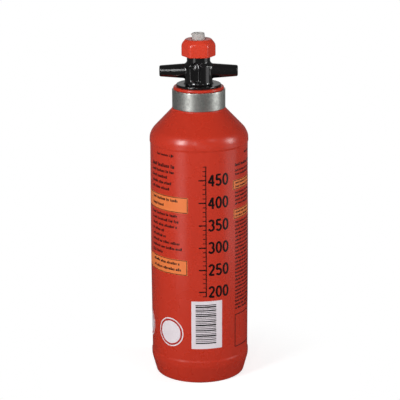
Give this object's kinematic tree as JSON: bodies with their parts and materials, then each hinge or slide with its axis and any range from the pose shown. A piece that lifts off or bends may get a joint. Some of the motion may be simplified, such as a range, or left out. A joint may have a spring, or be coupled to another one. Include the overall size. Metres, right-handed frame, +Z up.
{
  "type": "camping fuel bottle",
  "caption": "Moulded fuel bottle with a metal neck ring, a winged screw cap and a spring-loaded press-to-pour valve with a hexagonal locking knob and nozzle.",
  "frame": {"origin": "centre of the base, on the surface that the bottle stands on", "axes": "+Z up along the bottle's axis, X along the cap's wings, -Y the printed front"},
  "size_m": [0.0683, 0.0682, 0.2427],
  "materials": {
    "bottle_plastic": "blow moulded, satin",
    "ring_metal": "satin with fine handling scratches",
    "cap_plastic": "injection moulded, semi-gloss",
    "knob_plastic": "injection moulded, semi-gloss",
    "stem_plastic": "natural translucent",
    "seal_rubber": "matt",
    "spring_steel": "bright drawn wire"
  },
  "bodies": {
    "bottle": {"bottle_shell": "bottle_plastic", "neck_ring": "ring_metal"},
    "gasket": {"flange_gasket": "seal_rubber"},
    "o_ring": {"stem_o_ring": "seal_rubber"},
    "cap": {"cap_body": "cap_plastic", "seat_insert": "stem_plastic", "return_spring": "spring_steel"},
    "valve": {"valve_stem": "stem_plastic", "spring_washer": "spring_steel", "valve_seal": "seal_rubber", "valve_disc": "stem_plastic"},
    "knob_ring": {"knob_ring": "seal_rubber"},
    "knob": {"knob": "knob_plastic"}
  },
  "joints": [
    {"name": "cap_lift_off", "type": "slide", "parent": "bottle", "child": "gasket", "axis": [0, 0, 1], "range_m": [0, 0.06]},
    {"name": "cap_rise", "type": "slide", "parent": "gasket", "child": "o_ring", "axis": [0, 0, 1], "range_m": [0, 0.012]},
    {"name": "cap_turn", "type": "hinge", "parent": "o_ring", "child": "cap", "pos_m": [0, 0, 0.2063], "axis": [0, 0, 1], "range_deg": [0, 1080]},
    {"name": "valve_press", "type": "slide", "parent": "cap", "child": "valve", "axis": [0, 0, 1], "range_m": [-0.003, 0], "stiffness_N_per_m": 800, "springref_m": 0.004, "deforming": ["return_spring"]},
    {"name": "knob_rise", "type": "slide", "parent": "valve", "child": "knob_ring", "axis": [0, 0, 1], "range_m": [0, 0.003]},
    {"name": "knob_turn", "type": "hinge", "parent": "knob_ring", "child": "knob", "pos_m": [0, 0, 0.2329], "axis": [0, 0, 1], "range_deg": [0, 540]}
  ],
  "couplings": [
    {"joint": "cap_rise", "follows": "cap_turn", "m_per_rad": 0.00063661},
    {"joint": "knob_rise", "follows": "knob_turn", "m_per_rad": 0.0003183}
  ]
}
